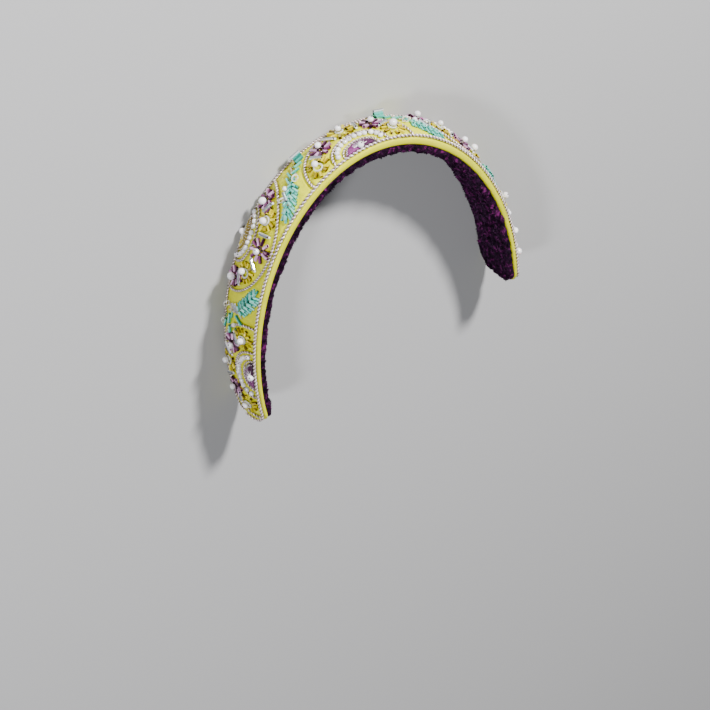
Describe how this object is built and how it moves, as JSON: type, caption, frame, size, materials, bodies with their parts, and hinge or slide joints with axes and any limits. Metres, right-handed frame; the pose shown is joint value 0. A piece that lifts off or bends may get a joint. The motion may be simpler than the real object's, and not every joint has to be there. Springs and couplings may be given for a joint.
{
  "type": "embroidered headband",
  "caption": "Stiff padded headband in lime satin with a velvet lining, sewn with metallic cord scallops, pearls, bead flowers and aqua bead sprays.",
  "frame": {"origin": "under the middle of the whole headband, on the surface that it lies on", "axes": "+X from the wearer's right ear to the left ear, +Y from the open ends to the crown, +Z from the back edge to the front edge"},
  "size_m": [0.1484, 0.1216, 0.0265],
  "materials": {
    "satin": "lime yellow satin, soft sheen",
    "velvet": "dark aubergine velvet pile",
    "metallic_cord": "twisted metallic thread in antique silver",
    "pearl": "pearl lustre",
    "purple_thread": "stitched silk thread, orchid purple",
    "gold_thread": "stitched silk thread, old gold",
    "gold_bead": "glossy golden glass bugle beads",
    "violet_bead": "glossy amethyst glass bugle beads",
    "aqua_bead": "glossy aqua glass bugle beads"
  },
  "bodies": {
    "root": {"satin_band": "satin", "velvet_lining": "velvet", "front_cord": "metallic_cord", "back_cord": "metallic_cord", "panel_cord_right_end": "metallic_cord", "scallop_cord_right_end": "metallic_cord", "moon_cord_right_end": "metallic_cord", "pearl_row_right_end": "pearl", "half_moon_right_end": "purple_thread", "flower_right_end_1": "gold_bead", "flower_right_end_2": "violet_bead", "flower_right_end_3": "gold_bead", "flower_right_end_4": "violet_bead", "flower_right_end_5": "gold_bead", "panel_cord_right_side": "metallic_cord", "scallop_cord_right_side": "metallic_cord", "moon_cord_right_side": "metallic_cord", "pearl_row_right_side": "pearl", "half_moon_right_side": "gold_thread", "flower_right_side_1": "violet_bead", "flower_right_side_2": "gold_bead", "flower_right_side_3": "violet_bead", "flower_right_side_4": "gold_bead", "flower_right_side_5": "violet_bead", "panel_cord_crown": "metallic_cord", "scallop_cord_crown": "metallic_cord", "moon_cord_crown": "metallic_cord", "pearl_row_crown": "pearl", "half_moon_crown": "purple_thread", "flower_crown_1": "gold_bead", "flower_crown_2": "violet_bead", "flower_crown_3": "gold_bead", "flower_crown_4": "violet_bead", "flower_crown_5": "gold_bead", "panel_cord_left_side": "metallic_cord", "scallop_cord_left_side": "metallic_cord", "moon_cord_left_side": "metallic_cord", "pearl_row_left_side": "pearl", "half_moon_left_side": "gold_thread", "flower_left_side_1": "violet_bead", "flower_left_side_2": "gold_bead", "flower_left_side_3": "violet_bead", "flower_left_side_4": "gold_bead", "flower_left_side_5": "violet_bead", "panel_cord_left_end": "metallic_cord", "scallop_cord_left_end": "metallic_cord", "moon_cord_left_end": "metallic_cord", "pearl_row_left_end": "pearl", "half_moon_left_end": "purple_thread", "flower_left_end_1": "gold_bead", "flower_left_end_2": "violet_bead", "flower_left_end_3": "gold_bead", "flower_left_end_4": "violet_bead", "flower_left_end_5": "gold_bead", "leaf_spray_right_lower": "aqua_bead", "leaf_spray_right_upper": "aqua_bead", "leaf_spray_left_upper": "aqua_bead", "leaf_spray_left_lower": "aqua_bead"}
  },
  "joints": []
}
